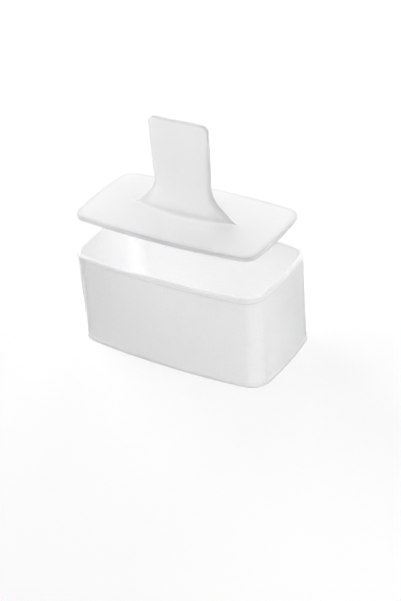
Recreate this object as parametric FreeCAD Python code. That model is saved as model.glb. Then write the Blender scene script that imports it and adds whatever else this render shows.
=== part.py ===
"""Rice block mould: an open-ended sleeve with bowed sides and the one-piece press that goes down inside it.

Millimetres, +Z up, +X along the length. The origin is on the table, at the middle of the sleeve's foot.
"""
import FreeCAD, Part
import math
import os

Vector = FreeCAD.Vector

# Sleeve, measured over the bead at its foot
sleeve_length = 100.0
sleeve_width = 54.8
sleeve_height = 46.2
long_side_bow = 3.1
short_side_bow = 2.3
corner_radius = 9.4

# Sleeve wall: its own thickness, and how far it leans in from foot to rim so that it leaves the tool
wall_thickness = 1.6
wall_lean = 0.15

# Bead round the foot
foot_bead_height = 2.2
foot_bead_proud = 0.35
foot_bead_round = 0.3
foot_edge_round = 0.5

# Band round the rim, with a fine groove under it
rim_band_height = 1.5
rim_band_proud = 0.4
rim_band_round = 0.25
rim_edge_round = 0.6
groove_height = 0.5
groove_depth = 0.25
groove_round = 0.12

# Edges of the bore, at the rim and at the foot
bore_edge_round = 0.35

# Press plate
plate_clearance = 0.6
plate_thickness = 2.4
plate_top_round = 0.7
plate_bottom_round = 0.5

# Press handle: a flat blade, thicker and flared at the plate
handle_height = 45.0
handle_top_width = 30.1
handle_base_width = 28.6
handle_corner_radius = 3.2
handle_top_thickness = 2.1
handle_base_thickness = 5.4
handle_edge_round = 0.7
flare_height = 11.2
flare_upper_radius = 12.0
flare_lower_radius = 7.0
root_radius = 2.0
root_width = 9.0
root_shoulder = 24.0
tip_reach = 29.0

# The handle's lowest faces run this far under the plate's top, and its foot this far into the plate
root_sink = 0.2
root_embed = 0.8

# How high the press is held over the rim, as it is before the rice goes in
lift_over_rim = 17.8


def bowed_arcs(inset):
    """Eight arcs, tangent in turn, of the sleeve's foot outline moved in by inset.

    Each arc is (centre x, centre y, radius, start degrees, sweep degrees), anticlockwise from +X.
    """
    half_length = sleeve_length / 2
    half_width = sleeve_width / 2
    long_radius = (half_length ** 2 + long_side_bow ** 2) / (2 * long_side_bow)
    short_radius = (half_width ** 2 + short_side_bow ** 2) / (2 * short_side_bow)
    long_centre = half_width - long_radius
    short_centre = half_length - short_radius

    # The corner's centre is at the two distances at which its arc touches both side arcs
    reach_long = long_radius - corner_radius
    reach_short = short_radius - corner_radius
    gap = math.hypot(short_centre, long_centre)
    along = (reach_long ** 2 - reach_short ** 2 + gap ** 2) / (2 * gap)
    across = math.sqrt(reach_long ** 2 - along ** 2)
    unit_x = short_centre / gap
    unit_y = -long_centre / gap
    corner_x = unit_x * along + unit_y * across
    corner_y = long_centre + unit_y * along - unit_x * across

    short_angle = math.degrees(math.atan2(corner_y, corner_x - short_centre))
    long_angle = math.degrees(math.atan2(corner_y - long_centre, corner_x))
    corner_sweep = long_angle - short_angle
    long_sweep = 180 - 2 * long_angle
    side_r = short_radius - inset
    end_r = long_radius - inset
    bend_r = corner_radius - inset
    return [
        (short_centre, 0, side_r, -short_angle, 2 * short_angle),
        (corner_x, corner_y, bend_r, short_angle, corner_sweep),
        (0, long_centre, end_r, long_angle, long_sweep),
        (-corner_x, corner_y, bend_r, 180 - long_angle, corner_sweep),
        (-short_centre, 0, side_r, 180 - short_angle, 2 * short_angle),
        (-corner_x, -corner_y, bend_r, 180 + short_angle, corner_sweep),
        (0, -long_centre, end_r, 180 + long_angle, long_sweep),
        (corner_x, -corner_y, bend_r, 360 - long_angle, corner_sweep),
    ]


def on_arc(arc, degrees, z, outward=0.0):
    """Point at an angle of an arc, moved outward from its centre."""
    centre_x, centre_y, radius, _, _ = arc
    angle = math.radians(degrees)
    reach = radius + outward
    return Vector(centre_x + reach * math.cos(angle), centre_y + reach * math.sin(angle), z)


def bowed_wire(inset, z):
    """The foot outline moved in by inset, as one closed wire at a height."""
    edges = []
    for arc in bowed_arcs(inset):
        start, sweep = arc[3], arc[4]
        points = [on_arc(arc, start + sweep * share, z) for share in (0, 0.5, 1)]
        edges.append(Part.Arc(*points).toShape())
    return Part.Wire(edges)


def rounded_wire(corners, place):
    """Closed wire through corners (a, b, radius), each rounded by its radius; place puts (a, b) in space."""
    count = len(corners)
    starts, middles, ends = [], [], []
    for index in range(count):
        a, b, radius = corners[index]
        before = corners[index - 1]
        after = corners[(index + 1) % count]
        if radius == 0:
            starts.append((a, b))
            middles.append(None)
            ends.append((a, b))
            continue
        back_length = math.hypot(before[0] - a, before[1] - b)
        next_length = math.hypot(after[0] - a, after[1] - b)
        back = ((before[0] - a) / back_length, (before[1] - b) / back_length)
        ahead = ((after[0] - a) / next_length, (after[1] - b) / next_length)
        half_angle = math.acos(back[0] * ahead[0] + back[1] * ahead[1]) / 2
        tangent = radius / math.tan(half_angle)
        starts.append((a + back[0] * tangent, b + back[1] * tangent))
        ends.append((a + ahead[0] * tangent, b + ahead[1] * tangent))
        mid = (back[0] + ahead[0], back[1] + ahead[1])
        mid_length = math.hypot(*mid)
        drop = radius / math.sin(half_angle) - radius
        middles.append((a + mid[0] / mid_length * drop, b + mid[1] / mid_length * drop))
    edges = []
    for index in range(count):
        if middles[index]:
            edges.append(Part.Arc(place(*starts[index]), place(*middles[index]), place(*ends[index])).toShape())
        following = starts[(index + 1) % count]
        if math.dist(ends[index], following) > 1e-6:
            edges.append(Part.LineSegment(place(*ends[index]), place(*following)).toShape())
    return Part.Wire(edges)


def wall_inset(z):
    """How far the wall's outer face stands in from the foot bead at a height."""
    return foot_bead_proud + wall_lean * z / sleeve_height


def wall_section():
    """Corners (outward, up, radius) of the sleeve's wall, from the bore's foot edge outward and up."""
    groove_top = sleeve_height - rim_band_height
    groove_middle = groove_top - groove_height / 2
    groove_foot = groove_top - groove_height
    rim_face = rim_band_proud - wall_inset(sleeve_height)
    bore_foot = -wall_inset(0) - wall_thickness
    bore_rim = -wall_inset(sleeve_height) - wall_thickness
    return [
        (bore_foot, 0, bore_edge_round),
        (0, 0, foot_edge_round),
        (0, foot_bead_height, foot_bead_round),
        (-wall_inset(foot_bead_height), foot_bead_height, 0),
        (-wall_inset(groove_foot), groove_foot, 0),
        (-wall_inset(groove_middle) - groove_depth, groove_middle, groove_round),
        (-wall_inset(groove_top), groove_top, 0),
        (rim_face, groove_top, rim_band_round),
        (rim_face, sleeve_height, rim_edge_round),
        (bore_rim, sleeve_height, bore_edge_round),
    ]


def mold_sleeve():
    """The wall's section turned round each of the outline's eight arcs and joined into one tube."""
    pieces = []
    for arc in bowed_arcs(0):
        start, sweep = arc[3], arc[4]
        section = rounded_wire(wall_section(), lambda out, up: on_arc(arc, start, up, out))
        centre = Vector(arc[0], arc[1], 0)
        pieces.append(Part.Face(section).revolve(centre, Vector(0, 0, 1), sweep))
    tube = pieces[0].multiFuse(pieces[1:]).removeSplitter()
    return tube.Solids[0]


def press_plate(underside):
    """Plate that follows the bore at the rim, smaller all round by the clearance."""
    bore_inset = wall_inset(sleeve_height) + wall_thickness
    outline = bowed_wire(bore_inset + plate_clearance, underside)
    plate = Part.Face(outline).extrude(Vector(0, 0, plate_thickness))
    top = underside + plate_thickness
    top_edges = [edge for edge in plate.Edges if edge.BoundBox.ZMin > top - 0.01]
    plate = plate.makeFillet(plate_top_round, top_edges)
    foot_edges = [edge for edge in plate.Edges if edge.BoundBox.ZMax < underside + 0.01]
    return plate.makeFillet(plate_bottom_round, foot_edges)


def mirrored(half):
    """Corners of one half, from the bottom up, and of the other half, from the top down."""
    return half + [(-a, b, radius) for a, b, radius in reversed(half)]


def handle_side_corners():
    """The handle seen from the front: flare, near-straight side and rounded top corner, half of it."""
    flare_foot = handle_base_width / 2 + flare_height + root_sink
    foot_end = tip_reach + 1
    return [
        (foot_end, -root_embed, 0),
        (foot_end, -root_sink, 0),
        (flare_foot, -root_sink, flare_lower_radius),
        (handle_base_width / 2, flare_height, flare_upper_radius),
        (handle_top_width / 2, handle_height, handle_corner_radius),
    ]


def handle_end_corners():
    """The handle seen from its end: hollow root, tapered face and rounded top, half of it."""
    foot_end = root_width / 2 + root_radius
    return [
        (foot_end, -root_embed, 0),
        (foot_end, -root_sink, 0),
        (handle_base_thickness / 2, -root_sink, root_radius),
        (handle_top_thickness / 2, handle_height, 0),
    ]


def handle_plan_corners():
    """The handle seen from above: a long hexagon that draws the flare out to a point at each end."""
    half = root_width / 2
    return [
        (tip_reach, 0, 0),
        (root_shoulder / 2, half, 0),
        (-root_shoulder / 2, half, 0),
        (-tip_reach, 0, 0),
        (-root_shoulder / 2, -half, 0),
        (root_shoulder / 2, -half, 0),
    ]


def round_tapered_faces(blade):
    """Round every edge of the blade's two tapered faces, but not the one at their root."""
    edges = []
    for face in blade.Faces:
        if face.BoundBox.ZMax > handle_height - 0.01 and abs(face.normalAt(0, 0).y) > 0.9:
            edges += sorted(face.Edges, key=lambda edge: edge.BoundBox.ZMax)[1:]
    return blade.makeFillet(handle_edge_round, edges)


def press_handle(plate_top):
    """The blade: what its front, end and plan outlines have in common."""
    depth = root_width + 2 * root_radius
    length = 2 * tip_reach + 4
    front = Part.Face(rounded_wire(mirrored(handle_side_corners()), lambda x, z: Vector(x, -depth / 2, z)))
    end = Part.Face(rounded_wire(mirrored(handle_end_corners()), lambda y, z: Vector(-length / 2, y, z)))
    plan = Part.Face(rounded_wire(handle_plan_corners(), lambda x, y: Vector(x, y, -root_embed)))
    blade = front.extrude(Vector(0, depth, 0)).common(end.extrude(Vector(length, 0, 0)))
    blade = round_tapered_faces(blade.Solids[0])
    blade = blade.common(plan.extrude(Vector(0, 0, handle_height + root_embed))).Solids[0]
    blade.translate(Vector(0, 0, plate_top))
    return blade


def press():
    """Plate and handle, moulded as one piece."""
    underside = sleeve_height + lift_over_rim
    plate = press_plate(underside)
    handle = press_handle(underside + plate_thickness)
    return plate.fuse(handle).removeSplitter().Solids[0]


os.makedirs("parts", exist_ok=True)
for name, shape in (("mold_sleeve", mold_sleeve()), ("press", press())):
    box = shape.BoundBox
    print(name, "valid", shape.isValid(), "volume", round(shape.Volume, 1), "faces", len(shape.Faces),
          "box", [round(v, 2) for v in (box.XMin, box.XMax, box.YMin, box.YMax, box.ZMin, box.ZMax)])
    shape.exportStep("parts/" + name + ".step")
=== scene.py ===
"""Rice block mould in frosted polypropylene: the open-ended sleeve and the hand press held over it.

Metres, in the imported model's frame: +Z up, +X along the sleeve, the origin on the table at the middle of
the foot. The fields of the pieces are in millimetres, as a drawing gives them.
"""

import logging
import math
from dataclasses import dataclass
from enum import Enum

import bpy
import numpy as np
from mathutils import Matrix, Vector


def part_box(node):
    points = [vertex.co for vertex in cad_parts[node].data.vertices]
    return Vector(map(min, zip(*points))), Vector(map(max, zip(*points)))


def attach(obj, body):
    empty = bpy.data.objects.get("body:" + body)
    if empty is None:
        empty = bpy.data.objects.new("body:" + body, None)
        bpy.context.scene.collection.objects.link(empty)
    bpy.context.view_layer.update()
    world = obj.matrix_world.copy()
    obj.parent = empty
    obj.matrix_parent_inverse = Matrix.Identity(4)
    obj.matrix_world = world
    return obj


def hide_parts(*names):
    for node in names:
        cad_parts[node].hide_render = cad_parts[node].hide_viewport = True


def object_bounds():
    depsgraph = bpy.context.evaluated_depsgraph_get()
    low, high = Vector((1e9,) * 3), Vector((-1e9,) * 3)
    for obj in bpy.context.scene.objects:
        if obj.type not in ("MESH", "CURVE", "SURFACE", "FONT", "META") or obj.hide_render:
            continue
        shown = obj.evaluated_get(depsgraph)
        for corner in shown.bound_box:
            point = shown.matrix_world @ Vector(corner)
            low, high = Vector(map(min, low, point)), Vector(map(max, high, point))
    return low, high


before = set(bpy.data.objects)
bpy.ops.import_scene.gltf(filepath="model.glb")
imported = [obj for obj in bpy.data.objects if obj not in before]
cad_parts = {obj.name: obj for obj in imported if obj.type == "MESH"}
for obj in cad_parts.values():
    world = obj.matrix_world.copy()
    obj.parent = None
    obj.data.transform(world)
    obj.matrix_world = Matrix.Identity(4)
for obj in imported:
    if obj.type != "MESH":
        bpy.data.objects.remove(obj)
cad_low, cad_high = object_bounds()

MM = 0.001
NO_TRIANGLES = np.empty((0, 3), int)
log = logging.getLogger("rice_mould")

Colour = tuple[float, float, float, float]


class Slot(Enum):
    """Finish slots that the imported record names."""

    SLEEVE = "sleeve_plastic"
    PRESS = "press_plastic"


def linear(code: str) -> Colour:
    """Turn an sRGB hex colour into linear RGBA.

    Args:
        code: Six hex digits.

    Returns:
        Linear red, green and blue, and an alpha of 1.
    """
    channels = np.array([int(code[at:at + 2], 16) for at in (0, 2, 4)]) / 255
    shown = np.where(channels <= 0.04045, channels / 12.92, ((channels + 0.055) / 1.055) ** 2.4)
    return (*shown.tolist(), 1.0)


def add_node(tree: bpy.types.NodeTree, kind: str, settings: dict | None = None,
             inputs: dict | None = None) -> bpy.types.Node:
    """Add a node with its settings and its inputs.

    Args:
        tree: Tree that gets the node.
        kind: Type name of the node.
        settings: Values of the node's properties, by name.
        inputs: Values, or output sockets to link, by the input's name or number.

    Returns:
        The new node.
    """
    node = tree.nodes.new(kind)
    for name, value in (settings or {}).items():
        setattr(node, name, value)
    for name, value in (inputs or {}).items():
        if isinstance(value, bpy.types.NodeSocket):
            tree.links.new(value, node.inputs[name])
        else:
            node.inputs[name].default_value = value
    return node


def smooth_step(low: float, high: float, value: np.ndarray) -> np.ndarray:
    """Rise from 0 at low to 1 at high along 3t^2 - 2t^3, level at both ends."""
    share = np.clip((value - low) / (high - low), 0.0, 1.0)
    return share * share * (3 - 2 * share)


def eased(count: int) -> np.ndarray:
    """Shares from 0 to 1, crowded at both ends by a half turn of a cosine, without the ends themselves."""
    return 0.5 - 0.5 * np.cos(np.pi * np.arange(1, count + 1) / (count + 1))


def rounded_path(corners: list[tuple[float, float, float]], arc_steps: list[int],
                 run_steps: list[int]) -> np.ndarray:
    """Follow corners in a plane and round each one by its radius.

    A corner's arc touches both of its runs at radius / tan(half the corner's angle) from the corner; its
    centre is on the bisector at radius / sin(half the angle), and its points turn evenly about it.

    Args:
        corners: (a, b, radius) in order; the first and last are open ends where their radius is 0.
        arc_steps: Number of points on each corner's arc.
        run_steps: Number of points on the run after each corner, crowded towards the run's ends.

    Returns:
        The points (a, b), one per row.
    """
    table = np.array(corners)
    places, radii = table[:, :2], table[:, 2]
    back = np.roll(places, 1, axis=0) - places
    ahead = np.roll(places, -1, axis=0) - places
    back /= np.linalg.norm(back, axis=1, keepdims=True)
    ahead /= np.linalg.norm(ahead, axis=1, keepdims=True)
    half = np.arccos(np.clip((back * ahead).sum(axis=1), -1, 1)) / 2
    bisector = back + ahead
    bisector /= np.maximum(np.linalg.norm(bisector, axis=1, keepdims=True), 1e-9)
    centres = places + bisector * (radii / np.sin(half))[:, None]
    starts = places + back * (radii / np.tan(half))[:, None] - centres
    turn = np.where(back[:, 0] * ahead[:, 1] - back[:, 1] * ahead[:, 0] > 0, -1.0, 1.0) * (np.pi - 2 * half)
    arcs = []
    for index, steps in enumerate(arc_steps):
        if radii[index] == 0:
            arcs.append(places[index][None])
            continue
        angle = np.linspace(0, turn[index], steps)
        cos, sin = np.cos(angle), np.sin(angle)
        x, y = starts[index]
        arcs.append(centres[index] + np.stack([x * cos - y * sin, x * sin + y * cos], axis=1))
    path = []
    for index, steps in enumerate(run_steps):
        path.append(arcs[index])
        start, end = arcs[index][-1], arcs[(index + 1) % len(arcs)][0]
        path.append(start + (end - start) * eased(steps)[:, None])
    return np.concatenate(path)


@dataclass(frozen=True)
class BowedOutline:
    """Rectangle with rounded corners whose four sides bow outwards: eight arcs, each tangent to the next."""

    length: float
    width: float
    long_bow: float
    short_bow: float
    corner: float

    def arcs(self) -> tuple[np.ndarray, np.ndarray, np.ndarray, np.ndarray]:
        """Work out the eight arcs, anticlockwise from the middle of the +X side.

        A side's radius follows from its half chord c and its bow h as (c^2 + h^2) / 2h. A corner's centre is
        where the circles about the two sides' centres meet, with radii smaller by the corner's own.

        Returns:
            Centres, radii, start angles and sweeps; the +X side is split in two, so there are nine rows.
        """
        half_length, half_width = self.length / 2, self.width / 2
        long_radius = (half_length ** 2 + self.long_bow ** 2) / (2 * self.long_bow)
        short_radius = (half_width ** 2 + self.short_bow ** 2) / (2 * self.short_bow)
        long_centre, short_centre = half_width - long_radius, half_length - short_radius
        reach_long, reach_short = long_radius - self.corner, short_radius - self.corner
        gap = math.hypot(short_centre, long_centre)
        along = (reach_long ** 2 - reach_short ** 2 + gap ** 2) / (2 * gap)
        across = math.sqrt(reach_long ** 2 - along ** 2)
        x = (short_centre * along - long_centre * across) / gap
        y = long_centre - (long_centre * along + short_centre * across) / gap
        short_turn = math.atan2(y, x - short_centre)
        long_turn = math.atan2(y - long_centre, x)
        bend = long_turn - short_turn
        centres = np.array([(short_centre, 0), (x, y), (0, long_centre), (-x, y), (-short_centre, 0),
                            (-x, -y), (0, -long_centre), (x, -y), (short_centre, 0)])
        radii = np.array([short_radius, self.corner, long_radius, self.corner, short_radius,
                          self.corner, long_radius, self.corner, short_radius])
        sweeps = np.array([short_turn, bend, np.pi - 2 * long_turn, bend, 2 * short_turn,
                           bend, np.pi - 2 * long_turn, bend, short_turn])
        return centres, radii, np.cumsum(sweeps) - sweeps, sweeps

    def sample(self, count: int, inset: float, outward: np.ndarray) -> tuple[np.ndarray, float]:
        """Points evenly spaced round the outline, and their copies at parallel distances.

        The arcs of a parallel outline keep their centres, so a point is its arc's centre plus the radius
        and the distance outward, along the direction at its angle.

        Args:
            count: Number of points round the outline, the first at the middle of the +X side.
            inset: How far inside the outline the points are evenly spaced.
            outward: Distances outward from the outline, one for each copy.

        Returns:
            Points of shape (count, copies, 2), and the length of the outline at the inset.
        """
        centres, radii, starts, sweeps = self.arcs()
        lengths = (radii - inset) * sweeps
        ends = np.cumsum(lengths)
        along = np.arange(count) / count * ends[-1]
        index = np.minimum(np.searchsorted(ends, along, side="right"), len(ends) - 1)
        angle = starts[index] + (along - (ends - lengths)[index]) / (radii - inset)[index]
        direction = np.stack([np.cos(angle), np.sin(angle)], axis=1)
        reach = radii[index][:, None] + outward[None, :]
        return centres[index][:, None, :] + reach[:, :, None] * direction[:, None, :], float(ends[-1])


def build_piece(name: str, points: np.ndarray, quads: np.ndarray, triangles: np.ndarray,
                values: dict[str, np.ndarray], layout: np.ndarray | None = None) -> bpy.types.Object:
    """Make a smooth mesh object from arrays.

    Args:
        name: Name of the piece.
        points: Places in millimetres, one row each.
        quads: Four point numbers for each face.
        triangles: Three point numbers for each face, or no rows.
        values: Named numbers, one for each point.
        layout: Flat coordinates of each corner of each quad, for the piece's UV map.

    Returns:
        The object, linked to the scene.
    """
    mesh = bpy.data.meshes.new(name)
    mesh.from_pydata(points * MM, [], quads.tolist() + triangles.tolist())
    mesh.polygons.foreach_set("use_smooth", np.ones(len(mesh.polygons), bool))
    for label, numbers in values.items():
        mesh.attributes.new(label, "FLOAT", "POINT").data.foreach_set("value", numbers.astype(np.float32))
    if layout is not None:
        mesh.uv_layers.new(name="around").data.foreach_set("uv", layout.astype(np.float32).ravel())
    mesh.update()
    piece = bpy.data.objects.new(name, mesh)
    bpy.context.scene.collection.objects.link(piece)
    return piece


@dataclass(frozen=True)
class FrostedPolypropylene:
    """Natural polypropylene, injection moulded in a bead-blasted tool.

    The crystals in the plastic scatter light inside it, so it is milky and bright with no clear depth. Shade
    is painted into its colour as a grey, by each piece's painted shade values. The blasted tool leaves a
    satin skin with a fine even grain.
    """

    name: str
    body_colour: str = "fdfdfd"
    shade_colour: str = "dedede"
    cloud_colour: str = "fbfbfb"
    roughness: float = 0.6
    roughness_spread: float = 0.06
    ior: float = 1.49
    transmission: float = 0.75
    scatter_weight: float = 1.0
    scatter_reach: float = 4.0
    grain_size: float = 0.45
    grain_depth: float = 0.02
    cloud_size: float = 16.0
    pip_shade: float = 0.0

    def material(self) -> bpy.types.Material:
        """Build the node material.

        Returns:
            The material, ready to be assigned.
        """
        material = bpy.data.materials.new(self.name)
        material.use_nodes = True
        tree = material.node_tree
        tree.nodes.clear()
        place = add_node(tree, "ShaderNodeTexCoord").outputs["Object"]

        # Faint clouds where the plastic cooled unevenly in the tool
        clouds = add_node(tree, "ShaderNodeTexNoise", {}, {
            "Vector": place, "Scale": 1 / (self.cloud_size * MM), "Detail": 2.0, "Roughness": 0.5})
        cloud_share = add_node(tree, "ShaderNodeMapRange", {}, {
            "Value": clouds.outputs["Fac"], "From Min": 0.35, "From Max": 0.65})
        body = add_node(tree, "ShaderNodeMix", {"data_type": "RGBA"}, {
            0: cloud_share.outputs["Result"], 6: linear(self.body_colour), 7: linear(self.cloud_colour)})
        colour = body.outputs[2]

        # Painted light and shade: the pips on the bore are painted on the wall as faint light dots with
        # darker shade between them, one to each unit of the UV map
        if self.pip_shade > 0:
            layout = add_node(tree, "ShaderNodeUVMap", {"uv_map": "around"}).outputs["UV"]
            dots = add_node(tree, "ShaderNodeTexVoronoi", {"voronoi_dimensions": "2D"}, {
                "Vector": layout, "Scale": 1.0, "Randomness": 0.3})
            dot_share = add_node(tree, "ShaderNodeMapRange", {"interpolation_type": "SMOOTHSTEP"}, {
                "Value": dots.outputs["Distance"], "From Min": 0.15, "From Max": 0.5,
                "To Min": 0.0, "To Max": self.pip_shade})
            dotted = add_node(tree, "ShaderNodeMix", {"data_type": "RGBA", "blend_type": "MULTIPLY"}, {
                0: dot_share.outputs["Result"], 6: colour, 7: linear("000000")})
            colour = dotted.outputs[2]

        # Painted shade: greyer by the piece's painted shade values, in the sleeve's groove and round its rim,
        # and over the press's blade and plate, most at their ends and edges
        edge = add_node(tree, "ShaderNodeAttribute", {"attribute_name": "painted_shade"})
        shaded = add_node(tree, "ShaderNodeMix", {"data_type": "RGBA"}, {
            0: edge.outputs["Fac"], 6: colour, 7: linear(self.shade_colour)})

        # Skin of the blasted tool: the grain is drawn a little coarser than it is, so that it shows
        grain = add_node(tree, "ShaderNodeTexNoise", {}, {
            "Vector": place, "Scale": 1 / (self.grain_size * MM), "Detail": 3.0, "Roughness": 0.6})
        bump = add_node(tree, "ShaderNodeBump", {}, {
            "Height": grain.outputs["Fac"], "Strength": 1.0, "Distance": self.grain_depth * MM})
        rough = add_node(tree, "ShaderNodeMapRange", {}, {
            "Value": grain.outputs["Fac"], "From Min": 0.3, "From Max": 0.7,
            "To Min": self.roughness - self.roughness_spread,
            "To Max": self.roughness + self.roughness_spread})
        shader = add_node(tree, "ShaderNodeBsdfPrincipled", {}, {
            "Base Color": shaded.outputs[2], "Roughness": rough.outputs["Result"], "IOR": self.ior,
            "Transmission Weight": self.transmission, "Subsurface Weight": self.scatter_weight,
            "Subsurface Radius": (1.0, 1.0, 1.0), "Subsurface Scale": self.scatter_reach * MM,
            "Normal": bump.outputs["Normal"]})
        add_node(tree, "ShaderNodeOutputMaterial", {}, {"Surface": shader.outputs["BSDF"]})
        return material


@dataclass(frozen=True)
class MouldSleeve:
    """The open-ended sleeve: bowed walls, a band with a groove round the rim, and a bead round the foot."""

    outline: BowedOutline
    height: float
    wall: float = 1.6
    lean: float = 0.15
    bead_height: float = 2.2
    bead_proud: float = 0.35
    bead_round: float = 0.3
    foot_round: float = 0.5
    band_height: float = 1.5
    band_proud: float = 0.4
    band_round: float = 0.25
    rim_round: float = 0.6
    groove_height: float = 0.5
    groove_depth: float = 0.25
    groove_round: float = 0.12
    bore_round: float = 0.35
    crease_round: float = 0.06
    lip_shading: float = 0.12
    pips_around: int = 140
    pip_rows: int = 21
    pip_height: float = 0.035
    pip_margin: float = 1.6
    points_per_pip: int = 4

    def wall_inset(self, z: float) -> float:
        """How far the wall's outer face stands in from the foot bead at a height."""
        return self.bead_proud + self.lean * z / self.height

    def section(self) -> tuple[np.ndarray, int]:
        """The wall's section, from the bore's foot edge outwards, up the outside and down the bore.

        Returns:
            Points (outward, up), and how many of them, at the end, are on the bore.
        """
        groove_top = self.height - self.band_height
        groove_middle = groove_top - self.groove_height / 2
        groove_foot = groove_top - self.groove_height
        rim_face = self.band_proud - self.wall_inset(self.height)
        corners = [
            (-self.wall_inset(0) - self.wall, 0, self.bore_round),
            (0, 0, self.foot_round),
            (0, self.bead_height, self.bead_round),
            (-self.wall_inset(self.bead_height), self.bead_height, self.crease_round),
            (-self.wall_inset(groove_foot), groove_foot, self.crease_round),
            (-self.wall_inset(groove_middle) - self.groove_depth, groove_middle, self.groove_round),
            (-self.wall_inset(groove_top), groove_top, self.crease_round),
            (rim_face, groove_top, self.band_round),
            (rim_face, self.height, self.rim_round),
            (-self.wall_inset(self.height) - self.wall, self.height, self.bore_round),
        ]
        bore_points = self.pip_rows * self.points_per_pip
        path = rounded_path(corners, [5, 6, 5, 2, 2, 3, 2, 5, 6, 5], [1, 2, 0, 12, 0, 0, 0, 1, 1, 0])
        foot, rim = path[0], path[-1]
        share = np.arange(1, bore_points) / bore_points
        bore = rim + (foot - rim) * share[:, None]
        return np.concatenate([path, bore]), len(bore)

    def surface(self) -> tuple[np.ndarray, np.ndarray, np.ndarray, np.ndarray, np.ndarray]:
        """The section carried round the outline, with the bore's pips raised on it.

        A pip's height is a product of two raised cosines, one round the bore and one up it, and falls to
        nothing within the margin at the rim and the foot.

        Returns:
            Points, quads, the painted shade of each point, the layout of each quad's corners, and 1 for each
            quad of the rim's band and 0 for the others.
        """
        section, bore_count = self.section()
        rows, columns = len(section), self.pips_around * self.points_per_pip
        inset = self.wall_inset(self.height / 2) + self.wall
        across = np.arange(columns) / self.points_per_pip
        up = section[:, 1]
        pitch = self.height / self.pip_rows
        window = smooth_step(0, self.pip_margin, up) * smooth_step(0, self.pip_margin, self.height - up)
        on_bore = np.arange(rows) >= rows - bore_count
        around, upward = 1 + np.cos(2 * np.pi * across), 1 + np.cos(2 * np.pi * up / pitch)
        wave = 0.25 * around[:, None] * upward[None, :]
        raised = self.pip_height * wave * (window * on_bore)[None, :]
        flat, _ = self.outline.sample(columns, inset, section[:, 0])
        lifted, _ = self.outline.sample(columns, inset, section[:, 0] - 1.0)
        places = flat + (lifted - flat) * raised[:, :, None]
        points = np.concatenate([places, np.broadcast_to(up[None, :, None], (columns, rows, 1))], axis=2)

        column, row = np.meshgrid(np.arange(columns), np.arange(rows), indexing="ij")
        corner_column = np.stack([column, column + 1, column + 1, column], axis=-1).reshape(-1, 4)
        corner_row = np.stack([row, row, row + 1, row + 1], axis=-1).reshape(-1, 4)
        quads = (corner_column % columns) * rows + corner_row % rows
        layout = np.stack([corner_column / self.points_per_pip, up[corner_row % rows] / pitch], axis=-1)

        groove_top = self.height - self.band_height
        groove_middle = groove_top - self.groove_height / 2
        # Painted shade: grey down the groove under the rim's band, where shade falls, and a lighter grey
        # round the band's outer top edge
        groove_shading = np.clip(1 - np.abs(up - groove_middle) / self.groove_height, 0, 1) * ~on_bore
        lip = np.array([self.band_proud - self.wall_inset(self.height) - self.rim_round / 3,
                        self.height - self.rim_round / 3])
        lip_shading = self.lip_shading * np.clip(1 - np.linalg.norm(section - lip, axis=1) / self.rim_round, 0, 1)
        shading = np.maximum(groove_shading, lip_shading)
        on_band = (up > groove_top) & ~on_bore
        band_quads = on_band[row.ravel()] & on_band[(row.ravel() + 1) % rows]
        return points.reshape(-1, 3), quads, np.tile(shading, columns), layout, band_quads.astype(int)

    def build(self, finish: FrostedPolypropylene, rim_finish: FrostedPolypropylene) -> bpy.types.Object:
        """Make the piece, dress it and let it ride on the sleeve's body.

        Args:
            finish: The plastic's finish.
            rim_finish: Its finish on the rim's band, which scatters more and lets less through.

        Returns:
            The finished piece.
        """
        points, quads, shading, layout, band_quads = self.surface()
        piece = build_piece("sleeve_moulding", points, quads, NO_TRIANGLES, {"painted_shade": shading}, layout)
        piece.data.materials.append(finish.material())
        piece.data.materials.append(rim_finish.material())
        piece.data.polygons.foreach_set("material_index", band_quads)
        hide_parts("mold_sleeve")
        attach(piece, "sleeve")
        return piece


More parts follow.
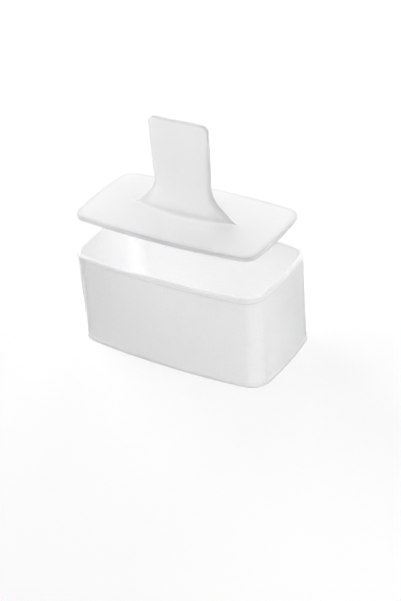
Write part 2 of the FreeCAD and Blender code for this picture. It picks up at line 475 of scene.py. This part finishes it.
@dataclass(frozen=True)
class HandPress:
    """The press: a bowed plate with a flat blade handle that thickens and flares into it, in one moulding."""

    outline: BowedOutline
    inset: float
    underside: float
    top: float
    thickness: float = 2.4
    top_round: float = 0.7
    bottom_round: float = 0.5
    blade_top_width: float = 30.1
    blade_base_width: float = 28.6
    blade_corner: float = 3.2
    blade_top_thickness: float = 2.1
    blade_base_thickness: float = 5.4
    blade_top_round: float = 0.7
    flare_height: float = 11.2
    flare_upper_radius: float = 12.0
    flare_lower_radius: float = 7.0
    root_radius: float = 2.0
    tip_reach: float = 28.6
    end_squareness: float = 0.8
    end_round_top: float = 0.9
    end_round_base: float = 2.0
    lens_power: float = 1.5
    lens_height: float = 22.0
    lens_fade: float = 1.5
    end_shading_fade: float = 1.5
    end_shading_start: float = 0.5
    face_shading: float = 0.42
    face_shading_heights: tuple[float, float] = (4.0, 18.0)
    plate_shading: float = 0.35
    plate_shading_start: float = 3.0
    border_shading: float = 0.7
    border_width: float = 3.5
    corner_shading: float = 1.0
    side_shading: float = 0.27
    points_around: int = 384
    tip_share: float = 1 / 3
    rings_over: int = 30
    rings_under: int = 14
    last_ring_share: float = 0.03

    @property
    def plate_top(self) -> float:
        """Height of the plate's upper face."""
        return self.underside + self.thickness

    def silhouette(self) -> np.ndarray:
        """The blade seen from the front, from its top corner down to the flare's tip.

        Returns:
            Half widths and heights above the plate, one row each.
        """
        height = self.top - self.plate_top
        base = self.blade_base_width / 2
        path = rounded_path(
            [(0, height, 0), (self.blade_top_width / 2, height, self.blade_corner),
             (base, self.flare_height, self.flare_upper_radius),
             (base + self.flare_height, 0, self.flare_lower_radius), (self.tip_reach, 0, 0)],
            [1, 20, 22, 22, 1], [0, 26, 8, 0, 0])
        return path[1:-1]

    def half_thickness(self, z: np.ndarray) -> np.ndarray:
        """Half the blade's thickness at heights above the plate.

        It tapers evenly to the top, is rounded off there by a quarter circle, and runs out into the plate
        by another at its root.

        Args:
            z: Heights above the plate.

        Returns:
            Half thicknesses.
        """
        height = self.top - self.plate_top
        thinning = self.blade_top_thickness - self.blade_base_thickness
        taper = self.blade_base_thickness + thinning * z / height
        over = np.clip(z - height + self.blade_top_round, 0, self.blade_top_round)
        under = np.clip(self.root_radius - z, 0, self.root_radius)
        top_drop = self.blade_top_round - np.sqrt(self.blade_top_round ** 2 - over ** 2)
        root_gain = self.root_radius - np.sqrt(self.root_radius ** 2 - under ** 2)
        return taper / 2 - top_drop + root_gain

    def blade_rings(self) -> tuple[np.ndarray, np.ndarray]:
        """Level rings of the blade, from its top down to the plate.

        A ring is a flat bar with rounded ends, x = a - r + r cos^p, y = b sin^p, that turns into a lens with
        thin pointed tips, y = b (1 - (x / a)^2)^m, as it comes down to the plate.

        Returns:
            Points of shape (rings, points around, 3), and their painted shade.
        """
        half_width, z = self.silhouette().T
        half = self.half_thickness(z)[:, None]
        reach = half_width[:, None]
        quarter = np.linspace(0, 1, self.points_around // 4 + 1)[None, :]
        turn = np.clip(quarter / self.tip_share, 0, 1) * np.pi / 2
        run = np.clip((quarter - self.tip_share) / (1 - self.tip_share), 0, 1)
        fall = (1 - np.clip(z / (self.top - self.plate_top), 0, 1))[:, None] ** 2
        end_round = half * (self.end_round_top + (self.end_round_base - self.end_round_top) * fall)
        bar_x = (reach - end_round) * (1 - run) + end_round * np.cos(turn) ** self.end_squareness
        bar_y = half * np.sin(turn) ** self.end_squareness
        lens_x = reach * (1 - quarter)
        lens_y = half * (1 - (1 - quarter) ** 2) ** self.lens_power
        share = np.clip(1 - z / self.lens_height, 0, 1)[:, None] ** self.lens_fade
        x = bar_x * (1 - share) + lens_x * share
        y = bar_y * (1 - share) + lens_y * share
        round_x = np.concatenate([x, -x[:, -2::-1], -x[:, 1:], x[:, -2:0:-1]], axis=1)
        round_y = np.concatenate([y, y[:, -2::-1], -y[:, 1:], -y[:, -2:0:-1]], axis=1)
        heights = np.broadcast_to((self.plate_top + z)[:, None], round_x.shape)
        # Painted shade: the blade's faces grey from a little above the root upwards, leaving the root
        # lighter, and its narrow ends grey, fading round onto the faces
        face = self.face_shading * smooth_step(*self.face_shading_heights, z)[:, None]
        end = np.cos(turn) ** self.end_shading_fade * smooth_step(0.0, self.end_shading_start, z)[:, None]
        edge = np.maximum(end, face)
        shading = np.concatenate([edge, edge[:, -2::-1], edge[:, 1:], edge[:, -2:0:-1]], axis=1)
        return np.stack([round_x, round_y, heights], axis=2), shading

    def plate_rings(self, foot_ring: np.ndarray) -> tuple[np.ndarray, np.ndarray]:
        """Rings over the plate's top, round its edge and in under it.

        Over the top and the underside a ring is a straight blend of its two neighbours' outlines; round the
        edge it is the outline itself, moved in and down along two quarter circles.

        Args:
            foot_ring: The blade's last ring, on the plate's top.

        Returns:
            Points of shape (rings, points around, 3), and their painted shade.
        """
        top_turn = np.linspace(0, np.pi / 2, 9)
        bottom_turn = np.linspace(0, np.pi / 2, 8)
        inward = np.concatenate([self.top_round * (1 - np.sin(top_turn)), np.zeros(3),
                                 self.bottom_round * (1 - np.cos(bottom_turn))])
        side = self.thickness - self.top_round - self.bottom_round
        down = np.concatenate([self.top_round * (1 - np.cos(top_turn)), self.top_round + side * eased(3),
                               self.thickness - self.bottom_round * (1 - np.sin(bottom_turn))])
        edge_xy, _ = self.outline.sample(self.points_around, self.inset, -self.inset - inward)
        edge_xy = edge_xy.transpose(1, 0, 2)
        edge = np.concatenate([edge_xy, np.broadcast_to((self.plate_top - down)[:, None, None],
                                                        (*edge_xy.shape[:2], 1))], axis=2)
        over = foot_ring[None] + (edge[0] - foot_ring)[None] * eased(self.rings_over)[:, None, None]
        shrink = 1 - np.append(eased(self.rings_under), 1)[:, None, None] * (1 - self.last_ring_share)
        under = edge[-1][None] * np.array([1, 1, 0]) * shrink + np.array([0, 0, self.underside])
        rings = np.concatenate([over, edge, under])
        # Painted shade: the plate's top grey away from the blade's root and greyer towards its edge, greyest
        # on its top round, grey down its side, and clear underneath
        from_edge = np.linalg.norm(over - edge[0], axis=2)
        from_blade = np.linalg.norm(over - foot_ring, axis=2)
        plate_shading = self.plate_shading * smooth_step(0, self.plate_shading_start, from_blade)
        border = self.border_shading * (1 - smooth_step(0, self.border_width, from_edge))
        border = np.maximum(border, plate_shading)
        side_shading = np.interp(down, [0, self.top_round / 3, self.top_round, self.thickness],
                              [self.border_shading, self.corner_shading, self.side_shading, self.side_shading])
        rest = np.concatenate([side_shading, np.zeros(len(under))])
        rest_shading = np.broadcast_to(rest[:, None], (len(rest), self.points_around))
        return rings, np.concatenate([border, rest_shading])

    def surface(self) -> tuple[np.ndarray, np.ndarray, np.ndarray, np.ndarray]:
        """All rings joined to one closed skin, with a strip across the blade's top and the last ring below.

        Returns:
            Points, quads, triangles and the painted shade of each point.
        """
        blade, blade_shading = self.blade_rings()
        plate, plate_shading = self.plate_rings(blade[-1])
        rings = np.concatenate([blade, plate])
        shading = np.concatenate([blade_shading, plate_shading])
        count, around = rings.shape[:2]
        ring, at = np.meshgrid(np.arange(count - 1), np.arange(around), indexing="ij")
        after = (at + 1) % around
        sides = np.stack([ring * around + at, (ring + 1) * around + at,
                          (ring + 1) * around + after, ring * around + after], axis=-1).reshape(-1, 4)
        step = np.arange(1, around // 2 - 1)
        strip = np.stack([step, step + 1, around - step - 1, around - step], axis=1)
        ends = np.array([[0, 1, around - 1], [around // 2 - 1, around // 2, around // 2 + 1]])
        last = (count - 1) * around
        quads = np.concatenate([sides, strip, (strip + last)[:, ::-1]])
        triangles = np.concatenate([ends, (ends + last)[:, ::-1]])
        return rings.reshape(-1, 3), quads, triangles, shading.ravel()

    def build(self, finish: FrostedPolypropylene) -> bpy.types.Object:
        """Make the piece, dress it and let it ride on the press's body.

        Args:
            finish: The plastic's finish.

        Returns:
            The finished piece.
        """
        points, quads, triangles, shading = self.surface()
        piece = build_piece("press_moulding", points, quads, triangles, {"painted_shade": shading})
        piece.data.materials.append(finish.material())
        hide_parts("press")
        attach(piece, "press")
        return piece


@dataclass(frozen=True)
class Softbox:
    """A square lamp that faces the object: its place as azimuth, elevation and distance, and its light."""

    name: str
    azimuth: float
    elevation: float
    distance: float
    side: float
    power: float

    def build(self, aim: Vector) -> bpy.types.Object:
        """Make the lamp.

        Args:
            aim: Point that it faces.

        Returns:
            The lamp, linked to the scene.
        """
        turn, rise = math.radians(self.azimuth), math.radians(self.elevation)
        away = Vector((math.sin(turn) * math.cos(rise), -math.cos(turn) * math.cos(rise), math.sin(rise)))
        light = bpy.data.lights.new(self.name, "AREA")
        light.shape = "SQUARE"
        light.size = self.side
        light.energy = self.power
        lamp = bpy.data.objects.new(self.name, light)
        lamp.location = aim + away * self.distance
        lamp.rotation_euler = away.to_track_quat("Z", "Y").to_euler()
        bpy.context.scene.collection.objects.link(lamp)
        return lamp


@dataclass(frozen=True)
class Studio:
    """The pale floor, the white surround, the lamps and the camera at the photograph's viewing angle."""

    picture_height: int = 601
    focal_pixels: float = 1351.3
    sensor: float = 36.0
    camera_azimuth: float = 33.99
    camera_elevation: float = 33.25
    camera_roll: float = -4.76
    camera_distance: float = 619.65
    aim: tuple[float, float, float] = (5.59, -2.17, 22.48)
    floor_side: float = 4.0
    floor_drop: float = 0.1
    floor_colour: str = "f4f4f4"
    floor_white_share: float = 0.75
    surround_colour: str = "ffffff"
    surround_strength: float = 0.02
    lamps: tuple[Softbox, ...] = (
        Softbox("left_softbox", -105.0, 20.0, 1.2, 0.9, 21.2),
        Softbox("back_softbox", -165.0, 20.0, 1.2, 0.5, 5.6),
        Softbox("upper_softbox", -60.0, 50.0, 1.2, 0.5, 4.6),
        Softbox("rear_panel", 140.0, 15.0, 0.4, 0.3, 0.48),
        Softbox("right_panel", 100.0, 15.0, 0.4, 0.3, 0.57),
        Softbox("front_panel", 70.0, 12.0, 0.28, 0.32, 0.22),
    )

    def camera(self) -> bpy.types.Object:
        """Make the scene's camera from its azimuth, elevation, roll, distance and aim.

        Returns:
            The camera.
        """
        turn, rise = math.radians(self.camera_azimuth), math.radians(self.camera_elevation)
        roll = math.radians(self.camera_roll)
        back = Vector((math.sin(turn) * math.cos(rise), -math.cos(turn) * math.cos(rise), math.sin(rise)))
        level = Vector((math.cos(turn), math.sin(turn), 0))
        up = back.cross(level)
        right = level * math.cos(roll) + up * math.sin(roll)
        top = up * math.cos(roll) - level * math.sin(roll)
        data = bpy.data.cameras.new("camera")
        data.sensor_width = self.sensor
        data.lens = self.focal_pixels / self.picture_height * self.sensor
        data.clip_start = 0.01
        camera = bpy.data.objects.new("camera", data)
        place = (Vector(self.aim) + back * self.camera_distance) * MM
        camera.matrix_world = Matrix.Translation(place) @ Matrix((right, top, back)).transposed().to_4x4()
        bpy.context.scene.collection.objects.link(camera)
        bpy.context.scene.camera = camera
        return camera

    def backdrop_share(self, tree: bpy.types.NodeTree) -> bpy.types.NodeSocket:
        """One for a ray straight from the camera, off gloss or through glass, and zero for any other."""
        path = add_node(tree, "ShaderNodeLightPath")
        seen = add_node(tree, "ShaderNodeMath", {"operation": "MAXIMUM"}, {
            0: path.outputs["Is Camera Ray"], 1: path.outputs["Is Glossy Ray"]})
        return add_node(tree, "ShaderNodeMath", {"operation": "MAXIMUM"}, {
            0: seen.outputs[0], 1: path.outputs["Is Transmission Ray"]}).outputs[0]

    def floor(self) -> bpy.types.Object:
        """Make the pale floor, which looks white and still takes the object's shadow.

        Returns:
            The floor.
        """
        half = self.floor_side / 2 / MM
        ground = -self.floor_drop
        points = np.array([(-half, -half, ground), (half, -half, ground),
                           (half, half, ground), (-half, half, ground)])
        floor = build_piece("floor", points, np.array([[0, 1, 2, 3]]), NO_TRIANGLES, {})
        material = bpy.data.materials.new("pale_floor")
        material.use_nodes = True
        tree = material.node_tree
        tree.nodes.clear()
        lit = add_node(tree, "ShaderNodeBsdfDiffuse", {}, {"Color": linear(self.floor_colour)})
        white = add_node(tree, "ShaderNodeEmission", {}, {"Color": linear("ffffff"), "Strength": 1.0})
        share = add_node(tree, "ShaderNodeMath", {"operation": "MULTIPLY"}, {
            0: self.backdrop_share(tree), 1: self.floor_white_share})
        mixed = add_node(tree, "ShaderNodeMixShader", {}, {
            0: share.outputs[0], 1: lit.outputs[0], 2: white.outputs[0]})
        add_node(tree, "ShaderNodeOutputMaterial", {}, {"Surface": mixed.outputs[0]})
        floor.data.materials.append(material)
        return floor

    def surround(self) -> None:
        """Light the scene evenly from all round, and show white where the camera looks past the floor."""
        world = bpy.data.worlds.new("surround")
        world.use_nodes = True
        bpy.context.scene.world = world
        tree = world.node_tree
        tree.nodes.clear()
        even = add_node(tree, "ShaderNodeBackground", {}, {
            "Color": linear(self.surround_colour), "Strength": self.surround_strength})
        white = add_node(tree, "ShaderNodeBackground", {}, {"Color": linear("ffffff"), "Strength": 1.0})
        mixed = add_node(tree, "ShaderNodeMixShader", {}, {
            0: self.backdrop_share(tree), 1: even.outputs[0], 2: white.outputs[0]})
        add_node(tree, "ShaderNodeOutputWorld", {}, {"Surface": mixed.outputs[0]})

    def build(self) -> None:
        """Make the floor, the surround, the lamps and the camera, and set plain colour handling."""
        bpy.context.scene.view_settings.view_transform = "Standard"
        self.floor()
        self.surround()
        self.camera()
        for lamp in self.lamps:
            lamp.build((cad_low + cad_high) / 2)


def main() -> None:
    """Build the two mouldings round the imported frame, and the studio round them."""
    logging.basicConfig(level=logging.INFO, format="%(name)s: %(message)s")
    sleeve_low, sleeve_high = (np.array(corner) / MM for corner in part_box("mold_sleeve"))
    press_low, press_high = (np.array(corner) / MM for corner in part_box("press"))
    length, width, height = sleeve_high - sleeve_low
    outline = BowedOutline(length=length, width=width, long_bow=3.1, short_bow=2.3, corner=9.4)
    sleeve = MouldSleeve(outline=outline, height=height)
    press = HandPress(outline=outline, inset=(length - press_high[0] + press_low[0]) / 2,
                      underside=press_low[2], top=press_high[2])
    wall_finish = FrostedPolypropylene("frosted_polypropylene_sleeve", pip_shade=0.022)
    rim_finish = FrostedPolypropylene("frosted_polypropylene_rim", transmission=0.45, scatter_reach=6.5)
    press_finish = FrostedPolypropylene("frosted_polypropylene_press", body_colour="ffffff",
                                        cloud_colour="fdfdfd", transmission=0.75, scatter_reach=9.0)
    for piece in (sleeve.build(wall_finish, rim_finish), press.build(press_finish)):
        log.info("%s: %d points, %d faces", piece.name, len(piece.data.vertices), len(piece.data.polygons))
    Studio().build()


if __name__ == "__main__":
    main()
